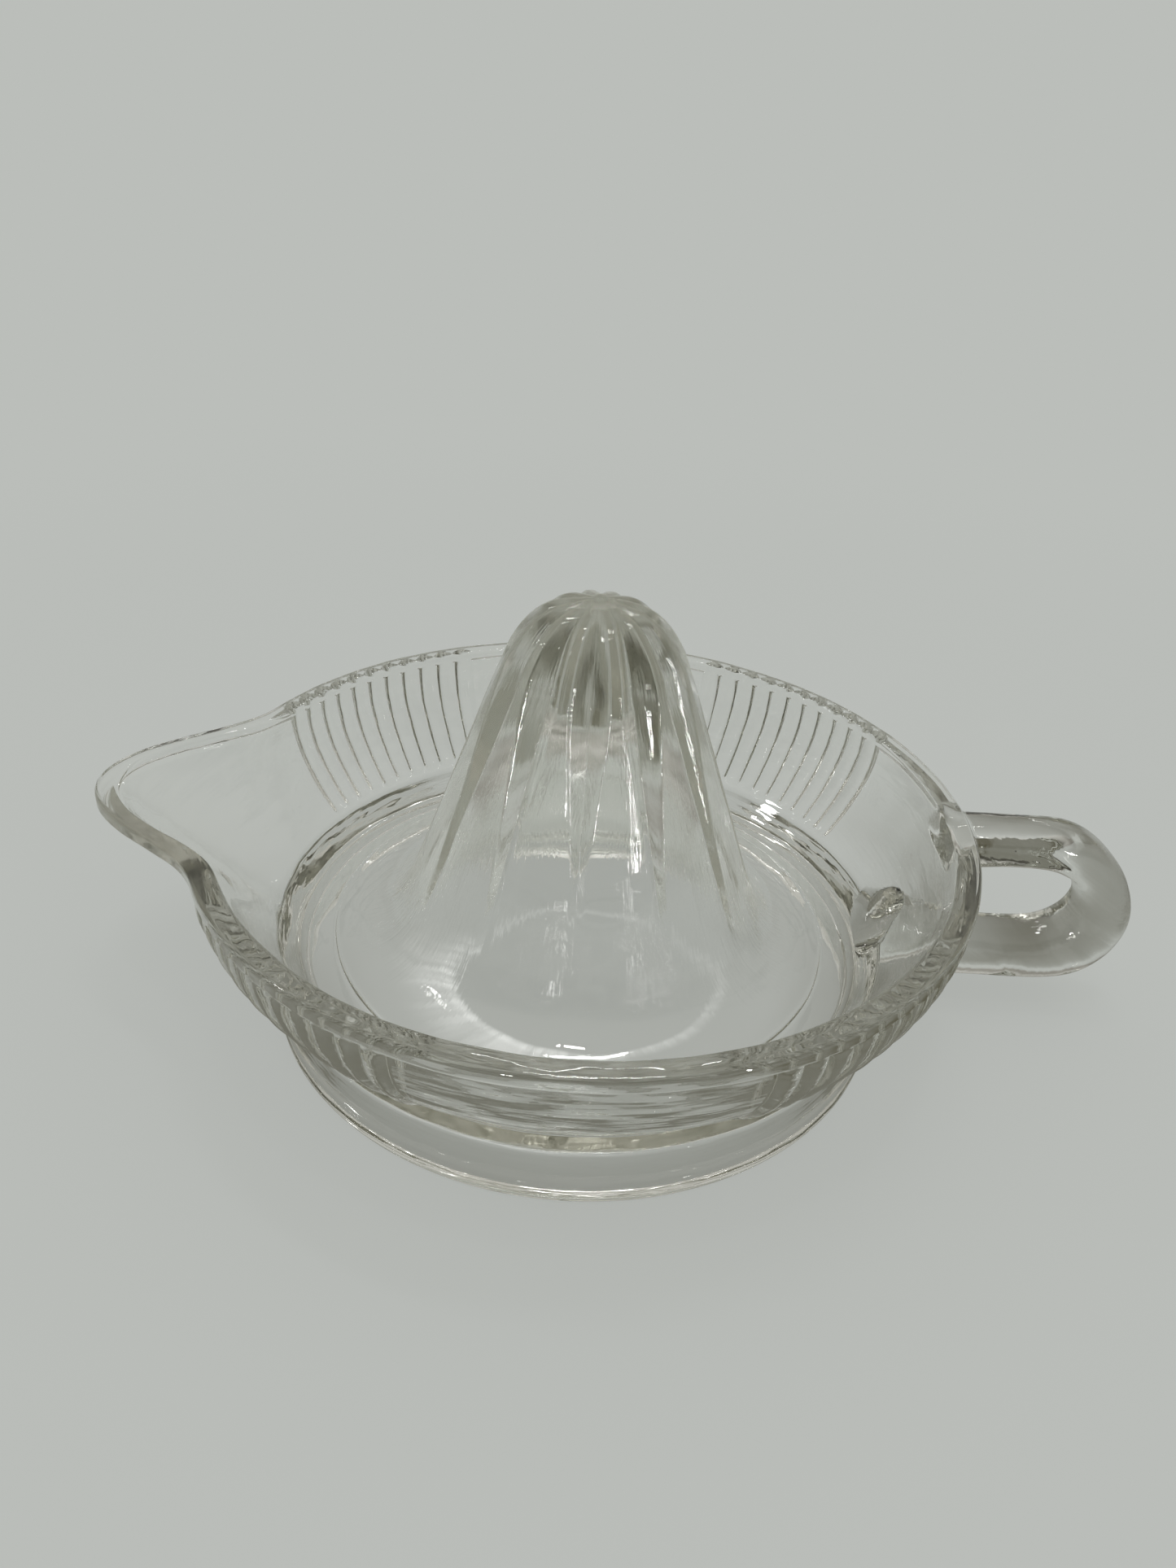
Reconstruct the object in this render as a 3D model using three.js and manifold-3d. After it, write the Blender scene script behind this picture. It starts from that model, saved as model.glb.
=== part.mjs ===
// Pressed clear-glass citrus reamer: a round juice bowl with a pouring spout on one side,
// a closed finger loop on the other, and a fluted hollow cone in the middle.
// The real object is one pressing of glass. Here it is parted at its natural changes of form
// into foot ring, floor, wall, spout, cone and handle.
// Millimetres, +Z up, +X toward the handle, the table at Z = 0.
import * as THREE from 'three';
import { mergeVertices } from 'three/addons/utils/BufferGeometryUtils.js';
import Module from 'manifold-3d';

const wasm = await Module();
wasm.setup();

// Bowl
const RIM_RADIUS = 75;
const RIM_HEIGHT = 42.4;
const RIM_THICKNESS = 4.6;
const RIM_ROUND = 1.8;
const BEAD_DEPTH = 3.2;
const BEAD_STAND = 0.8;
const SHOULDER_RISE = 3;
const WALL_SPREAD = 18.8;
const FLOOR_THICKNESS = 4.9;
const WALL_CURVE_SHARE = 1.9;

// Foot ring under the bowl
const FOOT_LEDGE = 5.2;
const FOOT_WIDTH = 6;
const FOOT_DEPTH = 8.8;
const FOOT_ROUND = 1;

// Ribs on the outside of the wall, in four panels
const RIB_COUNT = 11;
const RIB_STAND = 0.8;
const RIB_TOP_GAP = 0.5;
const RIB_FOOT_GAP = 0.6;
const PANEL_START_ANGLE = 26.6;
const PANEL_END_ANGLE = 67.1;

// Spout, its length measured from the rim
const SPOUT_LENGTH = 19.5;
const SPOUT_FLOOR_ANGLE = 10.5;
const SPOUT_INSIDE_SHARE = 1.45;
const SPOUT_OUTSIDE_SHARE = 0.9;
const SPOUT_BEAK_SHARE = 1.3;

// Reaming cone
const CONE_HEIGHT = 70.4;
const CONE_FOOT_RADIUS = 32.6;
const CONE_FOOT_RISE = 14.8;
const CONE_SHOULDER_RADIUS = 17.6;
const CONE_SHOULDER_RISE = 57.3;
const NIB_RADIUS = 1.6;
const NIB_HEIGHT = 0.8;
const FLANGE_MARGIN = 6.7;
const FLANGE_EDGE = 1.4;
const FLANGE_ROUND = 0.7;
const FLARE_SHARE = 0.75;
const HOLLOW_LIP = 3.5;
const HOLLOW_WALL = 6.8;
const HOLLOW_HEIGHT = 47;
const GROOVE_COUNT = 12;
const GROOVE_DEPTH = 3.6;
const GROOVE_GROWTH_SHARE = 1.7;
const GROOVE_SPREAD_SHARE = 1.25;
const GROOVE_WIDEST_SHARE = 0.8;
const GROOVE_TURN_ANGLE = -3;

// Handle, a closed loop for one finger, its length measured from the rim
const HANDLE_LENGTH = 37.5;
const HANDLE_WIDTH = 12.6;
const HANDLE_DROP = 0.9;
const UPPER_BAR = 7.6;
const LOWER_BAR = 12.6;
const HANDLE_RISE = 5.3;
const BEND_THICKNESS = 12;
const ROOT_LENGTH = 7;
const ROOT_FLARE_SHARE = 0.4;
const UPPER_SQUARENESS = 3.6;
const LOWER_SQUARENESS = 2.2;

// Gap left where one piece is parted from its neighbour on a sloping or upright face
const PARTING = 0.3;

// How far a cutting solid reaches past what it cuts
const OVERRUN = 10;

// Heights and radii that follow from the sizes above
const FLOOR_RADIUS = RIM_RADIUS - WALL_SPREAD;
const FOOT_RADIUS = FLOOR_RADIUS + FOOT_LEDGE;
const FLANGE_RADIUS = FLOOR_RADIUS - FLANGE_MARGIN;
const SPOUT_REACH = RIM_RADIUS + SPOUT_LENGTH;
const HANDLE_REACH = RIM_RADIUS + HANDLE_LENGTH;
const UNDERSIDE = FOOT_DEPTH;
const FLOOR_TOP = UNDERSIDE + FLOOR_THICKNESS;
const SHOULDER_HEIGHT = FLOOR_TOP + SHOULDER_RISE;
const BEAD_HEIGHT = RIM_HEIGHT - BEAD_DEPTH;
const WALL_RADIUS = RIM_RADIUS - BEAD_STAND;
const INNER_RADIUS = RIM_RADIUS - RIM_THICKNESS;
const INNER_TOP = RIM_HEIGHT - RIM_ROUND;
const RIB_TOP = BEAD_HEIGHT - RIB_TOP_GAP;
const RIB_FOOT = SHOULDER_HEIGHT + RIB_FOOT_GAP;
const PANEL_START = THREE.MathUtils.degToRad(PANEL_START_ANGLE);
const PANEL_END = THREE.MathUtils.degToRad(PANEL_END_ANGLE);
const RIB_PITCH = (PANEL_END - PANEL_START) / RIB_COUNT;
const RIB_WIDTH = RIB_PITCH * RIM_RADIUS;
const RIB_BALL = (RIB_WIDTH ** 2 / 4 + RIB_STAND ** 2) / (2 * RIB_STAND);

// Facets: how many steps go round a circle, and how many along a curve
const TURN = 2 * Math.PI;
const CLOSING_ANGLE = THREE.MathUtils.degToRad(0.05);
const ROUND_STEPS = 72;
const HOLLOW_STEPS = 48;
const PLAIN_STEP = THREE.MathUtils.degToRad(5);
const SPOUT_STEP = THREE.MathUtils.degToRad(2.4);
const INNER_STEPS = 7;
const FLARE_STEPS = 6;
const ROUND_CORNER_STEPS = 3;
const RIB_ACROSS = 4;
const SECTION_STEPS = 20;
const LOOP_STEPS = 26;

const radians = THREE.MathUtils.degToRad;
const clamp = THREE.MathUtils.clamp;
const lerp = THREE.MathUtils.lerp;

// A point of a section: its distance from the axis and its height
const at = (radius, height) => new THREE.Vector2(radius, height);

// Closed solids from rows of points

// A row of points along the given angles. A full circle ends on its first point.
function row(angles, place) {
  const points = angles.map((angle) => ({ angle, point: place(angle) }));
  const full = angles[angles.length - 1] - angles[0] > TURN - CLOSING_ANGLE;
  if (full) points[points.length - 1].point = points[0].point;
  return points;
}

// Joins two rows by triangles. The rows may hold different numbers of points.
function join(first, second, triangles) {
  let i = 0;
  let j = 0;
  while (i < first.length - 1 || j < second.length - 1) {
    const firstLeft = i < first.length - 1;
    const secondLeft = j < second.length - 1;
    const takeFirst = firstLeft && (!secondLeft || first[i + 1].angle <= second[j + 1].angle);
    if (takeFirst) {
      triangles.push([first[i].point, first[i + 1].point, second[j].point]);
      i += 1;
    } else {
      triangles.push([first[i].point, second[j + 1].point, second[j].point]);
      j += 1;
    }
  }
}

// Closes an open end with the flat outline that runs through the rows
function cap(outline, flat, triangles) {
  const contour = outline.map(flat);
  const turn = Math.sign(THREE.ShapeUtils.area(contour));
  for (const face of THREE.ShapeUtils.triangulateShape(contour, [])) {
    const same = Math.sign(THREE.ShapeUtils.area(face.map((k) => contour[k]))) === turn;
    const order = same ? face : [face[0], face[2], face[1]];
    triangles.push(order.map((k) => outline[k]));
  }
}

function geometryOf(triangles) {
  const numbers = triangles.flat().flatMap((point) => [point.x, point.y, point.z]);
  const geometry = new THREE.BufferGeometry();
  geometry.setAttribute('position', new THREE.Float32BufferAttribute(numbers, 3));
  return closed(geometry);
}

// Merges shared points, drops triangles without area and turns all faces outward
function closed(source) {
  source.deleteAttribute('normal');
  source.deleteAttribute('uv');
  const geometry = mergeVertices(source);
  const index = geometry.index.array;
  const place = geometry.attributes.position;
  const corner = (k) => new THREE.Vector3().fromBufferAttribute(place, k);
  const kept = [];
  let volume = 0;
  for (let k = 0; k < index.length; k += 3) {
    const [a, b, c] = [index[k], index[k + 1], index[k + 2]];
    if (a === b || b === c || a === c) continue;
    kept.push([a, b, c]);
    volume += corner(a).dot(corner(b).cross(corner(c)));
  }
  geometry.setIndex(kept.flatMap(([a, b, c]) => (volume > 0 ? [a, b, c] : [a, c, b])));
  return geometry;
}

// A revolved solid from a section that closes on itself or starts and ends on the axis
function revolve(section) {
  return closed(new THREE.LatheGeometry(section, ROUND_STEPS).rotateX(Math.PI / 2));
}

function manifoldOf(geometry) {
  return new wasm.Manifold(new wasm.Mesh({
    numProp: 3,
    vertProperties: new Float32Array(geometry.attributes.position.array),
    triVerts: new Uint32Array(geometry.index.array),
  }));
}

function cutAway(geometry, cutter) {
  const mesh = manifoldOf(geometry).subtract(manifoldOf(cutter)).getMesh();
  const result = new THREE.BufferGeometry();
  result.setAttribute('position', new THREE.Float32BufferAttribute(mesh.vertProperties, 3));
  result.setIndex(Array.from(mesh.triVerts));
  return result;
}

function steps(count) {
  return Array.from({ length: count + 1 }, (_, k) => k / count);
}

// Even steps from one angle to another, none wider than the given step
function fan(start, end, step) {
  const count = Math.max(1, Math.ceil((end - start) / step));
  return steps(count).map((share) => lerp(start, end, share));
}

// A quarter circle of points round a corner, from one direction to the next
function roundCorner(centre, radius, fromAngle, toAngle) {
  return steps(ROUND_CORNER_STEPS).map((share) => {
    const angle = radians(lerp(fromAngle, toAngle, share));
    return at(centre.x + radius * Math.cos(angle), centre.y + radius * Math.sin(angle));
  });
}

// Section of the bowl wall

// Outside of the wall between the shoulder and the bead, level 0 to 1
function outerWall(level) {
  const bulge = (1 - level) ** WALL_CURVE_SHARE;
  return at(
    WALL_RADIUS - (WALL_RADIUS - FOOT_RADIUS) * bulge,
    lerp(SHOULDER_HEIGHT, BEAD_HEIGHT, level),
  );
}

// Inside of the wall between the floor and the rim, level 0 to 1
function innerWall(level) {
  const bulge = (1 - level) ** WALL_CURVE_SHARE;
  return at(
    INNER_RADIUS - (INNER_RADIUS - FLOOR_RADIUS) * bulge,
    lerp(FLOOR_TOP, INNER_TOP, level),
  );
}

const rimSection = [
  at(RIM_RADIUS, BEAD_HEIGHT + BEAD_STAND),
  ...roundCorner(at(RIM_RADIUS - RIM_ROUND, INNER_TOP), RIM_ROUND, 0, 90),
  ...roundCorner(at(INNER_RADIUS + RIM_ROUND, INNER_TOP), RIM_ROUND, 90, 180),
];

// How far the spout draws the wall outward at a height and an angle from the spout's middle
function spoutPull(away, height, growth) {
  const level = clamp((height - FLOOR_TOP) / (INNER_TOP - FLOOR_TOP), 0, 1);
  const half = lerp(radians(SPOUT_FLOOR_ANGLE), PANEL_START, level);
  const across = Math.min(1, Math.abs(away) / half);
  const beak = ((1 + Math.cos(Math.PI * across)) / 2) ** SPOUT_BEAK_SHARE;
  return (SPOUT_REACH - RIM_RADIUS) * level ** growth * beak;
}

function turned(section, angle, extra = 0) {
  const radius = section.x + extra;
  return new THREE.Vector3(radius * Math.cos(angle), radius * Math.sin(angle), section.y);
}

// Ribs

// First and last angle of each panel, at both sides of the spout and of the handle
const ribPanels = [
  [-Math.PI + PANEL_START, -Math.PI + PANEL_END],
  [-PANEL_END, -PANEL_START],
  [PANEL_START, PANEL_END],
  [Math.PI - PANEL_END, Math.PI - PANEL_START],
];
const ribMiddles = ribPanels.flatMap(([first]) => (
  Array.from({ length: RIB_COUNT }, (_, k) => first + (k + 0.5) * RIB_PITCH)
));

// How far the nearest rib stands out at an angle and height: a round bar with round ends
function ribStand(angle, height) {
  const nearest = Math.min(...ribMiddles.map((middle) => Math.abs(angle - middle)));
  const half = RIB_WIDTH / 2;
  const past = Math.max(0, height - (RIB_TOP - half), RIB_FOOT + half - height);
  const distance = Math.hypot(nearest * RIM_RADIUS, past);
  if (distance >= half) return 0;
  return Math.sqrt(RIB_BALL ** 2 - distance ** 2) - (RIB_BALL - RIB_STAND);
}

// Angles across the ribbed part: close steps on the ribs, wide ones on the plain panels between
function ribbedAngles() {
  return ribPanels.flatMap(([first, last], k) => {
    const between = k > 0 ? fan(ribPanels[k - 1][1], first, PLAIN_STEP).slice(1, -1) : [];
    const across = steps(RIB_COUNT * RIB_ACROSS).map((share) => lerp(first, last, share));
    return [...between, ...across];
  });
}

// Heights of the rows that follow the ribs: close together at their round ends
function ribHeights() {
  const half = RIB_WIDTH / 2;
  const endShares = [0, 0.3, 1];
  const middleShares = [0.35, 0.7];
  const low = endShares.map((share) => RIB_FOOT + half * share);
  const high = endShares.map((share) => RIB_TOP - half * share).reverse();
  const middle = middleShares.map((share) => lerp(RIB_FOOT + half, RIB_TOP - half, share));
  return [...low, ...middle, ...high];
}

// Wall of the bowl, open where the spout sits
function bowlWall() {
  const end = Math.PI - PANEL_START;
  const plain = fan(-end, end, PLAIN_STEP);
  const ribbed = ribbedAngles();
  const plainRow = (section) => row(plain, (angle) => turned(section, angle));
  const ribRow = (height) => {
    const section = outerWall((height - SHOULDER_HEIGHT) / (BEAD_HEIGHT - SHOULDER_HEIGHT));
    return row(ribbed, (angle) => turned(section, angle, ribStand(angle, height)));
  };
  const rows = [
    plainRow(at(FOOT_RADIUS, FLOOR_TOP)),
    plainRow(outerWall(0)),
    ...ribHeights().map(ribRow),
    plainRow(outerWall(1)),
    ...rimSection.map(plainRow),
    ...steps(INNER_STEPS).slice(1).reverse().slice(1).map((level) => plainRow(innerWall(level))),
    plainRow(innerWall(0)),
  ];
  return skinned(rows);
}

// A skin round a looped section, capped flat at both ends
function skinned(rows) {
  const triangles = [];
  rows.forEach((each, k) => join(each, rows[(k + 1) % rows.length], triangles));
  const flat = (point) => at(Math.hypot(point.x, point.y), point.z);
  cap(rows.map((each) => each[0].point), flat, triangles);
  cap(rows.map((each) => each[each.length - 1].point).reverse(), flat, triangles);
  return geometryOf(triangles);
}

// Spout: the same wall drawn out into a beak whose channel starts at the floor
function pourSpout() {
  const half = PANEL_START - PARTING / FLOOR_RADIUS;
  const angles = fan(-half, half, SPOUT_STEP);
  const drawn = (section, growth) => row(angles, (away) => (
    turned(section, Math.PI + away, spoutPull(away, section.y, growth))
  ));
  const outside = (section) => drawn(section, SPOUT_OUTSIDE_SHARE);
  const inside = (section) => drawn(section, SPOUT_INSIDE_SHARE);
  const rows = [
    outside(at(FOOT_RADIUS, FLOOR_TOP)),
    ...steps(INNER_STEPS).map((level) => outside(outerWall(level))),
    ...rimSection.map(outside),
    ...steps(INNER_STEPS).slice(1).reverse().slice(1).map((level) => inside(innerWall(level))),
    inside(innerWall(0)),
  ];
  return skinned(rows);
}

// Foot ring and floor

function footRing() {
  const inner = FOOT_RADIUS - FOOT_WIDTH;
  return revolve([
    at(FOOT_RADIUS, UNDERSIDE),
    ...roundCorner(at(FOOT_RADIUS - FOOT_ROUND, FOOT_ROUND), FOOT_ROUND, 0, -90),
    ...roundCorner(at(inner + FOOT_ROUND, FOOT_ROUND), FOOT_ROUND, -90, -180),
    at(inner, UNDERSIDE),
    at(FOOT_RADIUS, UNDERSIDE),
  ]);
}

// Floor of the bowl, open in the middle where the hollow of the cone starts
function bowlFloor() {
  const mouth = hollowSection().filter((section) => section.y <= 0);
  return revolve([
    at(FOOT_RADIUS, FLOOR_TOP),
    ...mouth.map((section) => at(section.x, section.y + FLOOR_TOP)).reverse(),
    at(FOOT_RADIUS, UNDERSIDE),
    at(FOOT_RADIUS, FLOOR_TOP),
  ]);
}

// Reaming cone

const domeShares = [[0.898, 0.305], [0.733, 0.618], [0.52, 0.847], [0.28, 0.954]];
const hollowShares = [[0.87, 0.24], [0.7, 0.5], [0.48, 0.76], [0.33, 0.89], [0.17, 0.97]];
const coneShares = [0.17, 0.34, 0.5, 0.65, 0.78, 0.9, 1];

// A curve that leaves the first point level and meets the second in line with the third
function flareTo(first, second, third) {
  const lean = (third.x - second.x) / (third.y - second.y);
  const corner = at(second.x - lean * (second.y - first.y), first.y);
  const leave = first.clone().lerp(corner, FLARE_SHARE);
  const meet = second.clone().lerp(corner, FLARE_SHARE);
  return new THREE.CubicBezierCurve(first, leave, meet, second).getPoints(FLARE_STEPS);
}

// Inside of the hollow from its mouth under the floor to its top, heights above the floor
function hollowSection() {
  const foot = at(CONE_FOOT_RADIUS - HOLLOW_WALL, CONE_FOOT_RISE);
  const upper = hollowShares.map(([across, up]) => (
    at(foot.x * across, lerp(foot.y, HOLLOW_HEIGHT, up))
  ));
  const mouth = at(FLANGE_RADIUS - HOLLOW_LIP, -FLOOR_THICKNESS);
  return cutAtFloor([...flareTo(mouth, foot, upper[0]), ...upper]);
}

// Adds the point where a rising outline passes the top of the floor
function cutAtFloor(outline) {
  const above = outline.findIndex((section) => section.y > 0);
  const [low, high] = [outline[above - 1], outline[above]];
  const crossing = low.clone().lerp(high, -low.y / (high.y - low.y)).setY(0);
  return [...outline.slice(0, above), crossing, ...outline.slice(above)];
}

// Outside of the cone from its flange to the nib on top, heights above the floor
function coneSection() {
  const foot = at(CONE_FOOT_RADIUS, CONE_FOOT_RISE);
  const shoulder = at(CONE_SHOULDER_RADIUS, CONE_SHOULDER_RISE);
  const flange = at(FLANGE_RADIUS - FLANGE_ROUND, FLANGE_EDGE);
  const dome = domeShares.map(([across, up]) => (
    at(shoulder.x * across, lerp(shoulder.y, CONE_HEIGHT, up))
  ));
  return [
    at(FLANGE_RADIUS, 0),
    ...roundCorner(at(flange.x, flange.y - FLANGE_ROUND), FLANGE_ROUND, 0, 90),
    ...flareTo(flange, foot, shoulder).slice(1),
    ...coneShares.map((share) => foot.clone().lerp(shoulder, share)),
    ...dome,
    at(NIB_RADIUS, CONE_HEIGHT),
  ];
}

// How deep the grooves are where the cone has this radius and height
function grooveDepth(section) {
  const rise = (section.y - CONE_FOOT_RISE) / (CONE_SHOULDER_RISE - CONE_FOOT_RISE);
  if (rise <= 0) return 0;
  if (rise < 1) return GROOVE_DEPTH * rise ** GROOVE_GROWTH_SHARE;
  return GROOVE_DEPTH * section.x / CONE_SHOULDER_RADIUS;
}

// One turn of points round the cone: the bottom of each groove, its two edges and the lobe between
function flutedRow(section) {
  const depth = grooveDepth(section);
  const pitch = TURN / GROOVE_COUNT;
  const widest = pitch / 2 * GROOVE_WIDEST_SHARE;
  const narrowest = pitch / 2 * (1 - GROOVE_WIDEST_SHARE);
  const edge = clamp(depth * GROOVE_SPREAD_SHARE / section.x, narrowest, widest);
  const lobe = (edge + pitch / 2) / 2;
  const offsets = [0, edge, lobe, pitch / 2, pitch - lobe, pitch - edge];
  const points = [];
  for (let k = 0; k < GROOVE_COUNT; k += 1) {
    offsets.forEach((offset, place) => {
      const angle = k * pitch + offset + radians(GROOVE_TURN_ANGLE);
      const sunk = place === 0 ? -depth : 0;
      points.push({ angle: (k + place / offsets.length) * pitch, point: turned(section, angle, sunk) });
    });
  }
  return [...points, { angle: TURN, point: points[0].point }];
}

function reamingCone() {
  const pole = (height) => [{ angle: 0, point: new THREE.Vector3(0, 0, height) }];
  const around = steps(HOLLOW_STEPS).map((share) => share * TURN);
  const hollow = hollowSection().filter((section) => section.y >= 0);
  const rows = [
    pole(CONE_HEIGHT + NIB_HEIGHT),
    ...coneSection().reverse().map(flutedRow),
    ...hollow.map((section) => row(around, (angle) => turned(section, angle))),
    pole(HOLLOW_HEIGHT),
  ];
  const triangles = [];
  rows.slice(1).forEach((each, k) => join(rows[k], each, triangles));
  return geometryOf(triangles).translate(0, 0, FLOOR_TOP);
}

// Handle

// Outline of the loop as shares: across from the rim to the reach, up from its lowest to its top
const outerLoopShares = [
  [-0.5, 1], [0, 1], [0.3, 1], [0.56, 0.99], [0.72, 0.92], [0.87, 0.77], [0.97, 0.58],
  [1, 0.4], [0.95, 0.21], [0.82, 0.07], [0.64, 0.006], [0.4, 0], [0, 0], [-0.6, 0],
];
// Outline of the finger opening: across from the rim to the bend, up from the lower bar to the upper
const innerLoopShares = [
  [-0.5, 0.96], [0, 0.97], [0.3, 1], [0.54, 0.99], [0.72, 0.93], [0.9, 0.78], [0.98, 0.6],
  [1, 0.44], [0.95, 0.25], [0.83, 0.09], [0.67, 0.01], [0.4, 0], [0.05, 0.06], [-0.2, 0.22], [-0.6, 0.5],
];

function handle() {
  const top = RIM_HEIGHT - HANDLE_DROP;
  const gapTop = top - UPPER_BAR;
  const foot = HANDLE_RISE;
  const gapFoot = foot + LOWER_BAR;
  const bend = HANDLE_REACH - BEND_THICKNESS;
  const outer = new THREE.SplineCurve(outerLoopShares.map(([across, up]) => (
    at(lerp(RIM_RADIUS, HANDLE_REACH, across), lerp(foot, top, up))
  )));
  const inner = new THREE.SplineCurve(innerLoopShares.map(([across, up]) => (
    at(lerp(RIM_RADIUS, bend, across), lerp(gapFoot, gapTop, up))
  )));
  const rings = steps(LOOP_STEPS).map((along) => (
    handleRing(outer.getPoint(along), inner.getPoint(along), along)
  ));
  const ends = [rings[0], rings[rings.length - 1]].map((ring) => [middleOf(ring)]);
  const rows = [ends[0], ...rings, ends[1]];
  const triangles = [];
  rows.slice(1).forEach((each, k) => join(rows[k], each, triangles));
  return cutAway(geometryOf(triangles), bowlEnvelope());
}

function middleOf(ring) {
  const half = (ring.length - 1) / 2;
  return { angle: 0, point: ring[0].point.clone().lerp(ring[half].point, 0.5) };
}

// One section of the loop: squarer on the flat-topped upper bar, round on the lower
function handleRing(outside, inside, along) {
  const middle = outside.clone().lerp(inside, 0.5);
  const thick = outside.clone().sub(middle);
  const power = 2 / lerp(UPPER_SQUARENESS, LOWER_SQUARENESS, clamp(2 * along, 0, 1));
  const clear = (middle.x - bowlRadiusAt(middle.y)) / ROOT_LENGTH;
  const flare = clamp(1 - clear, 0, 1) ** 2;
  const half = HANDLE_WIDTH / 2 * (1 + ROOT_FLARE_SHARE * flare);
  return row(steps(SECTION_STEPS).map((share) => share * TURN), (angle) => {
    const across = Math.sign(Math.cos(angle)) * Math.abs(Math.cos(angle)) ** power;
    const up = Math.sign(Math.sin(angle)) * Math.abs(Math.sin(angle)) ** power;
    return new THREE.Vector3(middle.x + thick.x * up, half * across, middle.y + thick.y * up);
  });
}

// Outer radius of the bowl at a height
function bowlRadiusAt(height) {
  if (height <= SHOULDER_HEIGHT) return FOOT_RADIUS;
  if (height >= BEAD_HEIGHT) return RIM_RADIUS;
  return outerWall((height - SHOULDER_HEIGHT) / (BEAD_HEIGHT - SHOULDER_HEIGHT)).x;
}

// The bowl as a filled solid, larger by the parting, that trims the roots of the handle
function bowlEnvelope() {
  const wall = steps(INNER_STEPS).map(outerWall);
  const outline = [
    at(FOOT_RADIUS, -OVERRUN),
    ...wall,
    at(RIM_RADIUS, BEAD_HEIGHT + BEAD_STAND),
    at(RIM_RADIUS, RIM_HEIGHT + OVERRUN),
  ];
  const grown = outline.map((section) => at(section.x + PARTING, section.y));
  return revolve([at(0, -OVERRUN), ...grown, at(0, RIM_HEIGHT + OVERRUN)]);
}

// Assembly

const reamer = new THREE.Group();

function add(name, geometry, colour) {
  const material = new THREE.MeshStandardMaterial({ color: colour, roughness: 0.04, metalness: 0 });
  const mesh = new THREE.Mesh(geometry, material);
  mesh.name = name;
  reamer.add(mesh);
}

add('foot_ring', footRing(), 0xb9bcb5);
add('bowl_floor', bowlFloor(), 0xc3c6c1);
add('bowl_wall', bowlWall(), 0xc6c9c4);
add('pour_spout', pourSpout(), 0xc9ccc7);
add('reaming_cone', reamingCone(), 0xbfc2bc);
add('handle', handle(), 0xc4c7c2);

// The middle of the whole footprint, from spout to handle, stands over the origin
reamer.position.x = (SPOUT_REACH - HANDLE_REACH) / 2;

export default reamer;
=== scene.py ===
"""Looks for the pressed-glass citrus reamer: one clear pressing on a pale table, in soft light.

The shapes are worked out in millimetres, in the CAD's directions but with the bowl's axis in the
middle, and become metres when the mesh is finished. Materials, lamps and the table are in metres.
"""

import math
from functools import partial, reduce

import bpy
import numpy as np
from mathutils import Matrix, Vector


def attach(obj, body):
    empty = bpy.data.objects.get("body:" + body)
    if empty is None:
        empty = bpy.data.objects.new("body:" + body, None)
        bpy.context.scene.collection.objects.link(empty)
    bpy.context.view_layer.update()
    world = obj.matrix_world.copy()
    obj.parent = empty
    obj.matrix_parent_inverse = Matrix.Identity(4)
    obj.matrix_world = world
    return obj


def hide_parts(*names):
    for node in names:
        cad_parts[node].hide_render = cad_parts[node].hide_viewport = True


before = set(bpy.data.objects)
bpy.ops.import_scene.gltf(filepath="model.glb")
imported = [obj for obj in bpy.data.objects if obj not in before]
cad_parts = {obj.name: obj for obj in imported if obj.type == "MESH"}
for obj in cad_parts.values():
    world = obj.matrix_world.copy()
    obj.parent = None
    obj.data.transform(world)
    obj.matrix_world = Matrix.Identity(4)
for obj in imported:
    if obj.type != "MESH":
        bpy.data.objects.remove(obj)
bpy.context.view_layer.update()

MM = 0.001

# Sizes of the pressing in millimetres. They are those of the CAD source, apart from fine relief:
# the roundings of rim and flange, how far bead and ribs stand out, the ends of the ribs, the
# grooves, the mouth of the hollow and the handle's roots
SPOUT_REACH = 94.5
HANDLE_REACH = 112.5
BOWL_X = (SPOUT_REACH - HANDLE_REACH) / 2
RIM_RADIUS = 75.0
RIM_HEIGHT = 42.4
RIM_THICKNESS = 4.6
RIM_ROUND = 1.0
BEAD_DEPTH = 3.2
BEAD_STAND = 0.95
FLOOR_RADIUS = 56.2
FLOOR_TOP = 13.7
SHOULDER_HEIGHT = 16.7
WALL_CURVE = 1.9
FOOT_RADIUS = 61.4
FOOT_WIDTH = 6.0
FOOT_ROUND = 1.0
UNDERSIDE = 8.8
BEAD_HEIGHT = RIM_HEIGHT - BEAD_DEPTH
WALL_RADIUS = RIM_RADIUS - BEAD_STAND
INNER_RADIUS = RIM_RADIUS - RIM_THICKNESS
INNER_TOP = RIM_HEIGHT - RIM_ROUND

# Ribs: eleven in each of four panels, beside the spout and beside the handle
RIB_COUNT = 11
RIB_STAND = 0.95
RIB_FOOT = SHOULDER_HEIGHT + 0.6
RIB_END = 1.0
PANEL_START = math.radians(26.6)
PANEL_END = math.radians(67.1)
RIB_PITCH = (PANEL_END - PANEL_START) / RIB_COUNT
RIB_HALF = RIB_PITCH * RIM_RADIUS / 2
RIB_BALL = (RIB_HALF**2 + RIB_STAND**2) / (2 * RIB_STAND)

# Spout
SPOUT_FLOOR_HALF = math.radians(10.5)
SPOUT_INSIDE_GROWTH = 1.45
SPOUT_OUTSIDE_GROWTH = 0.9
SPOUT_BEAK = 1.3

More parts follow.
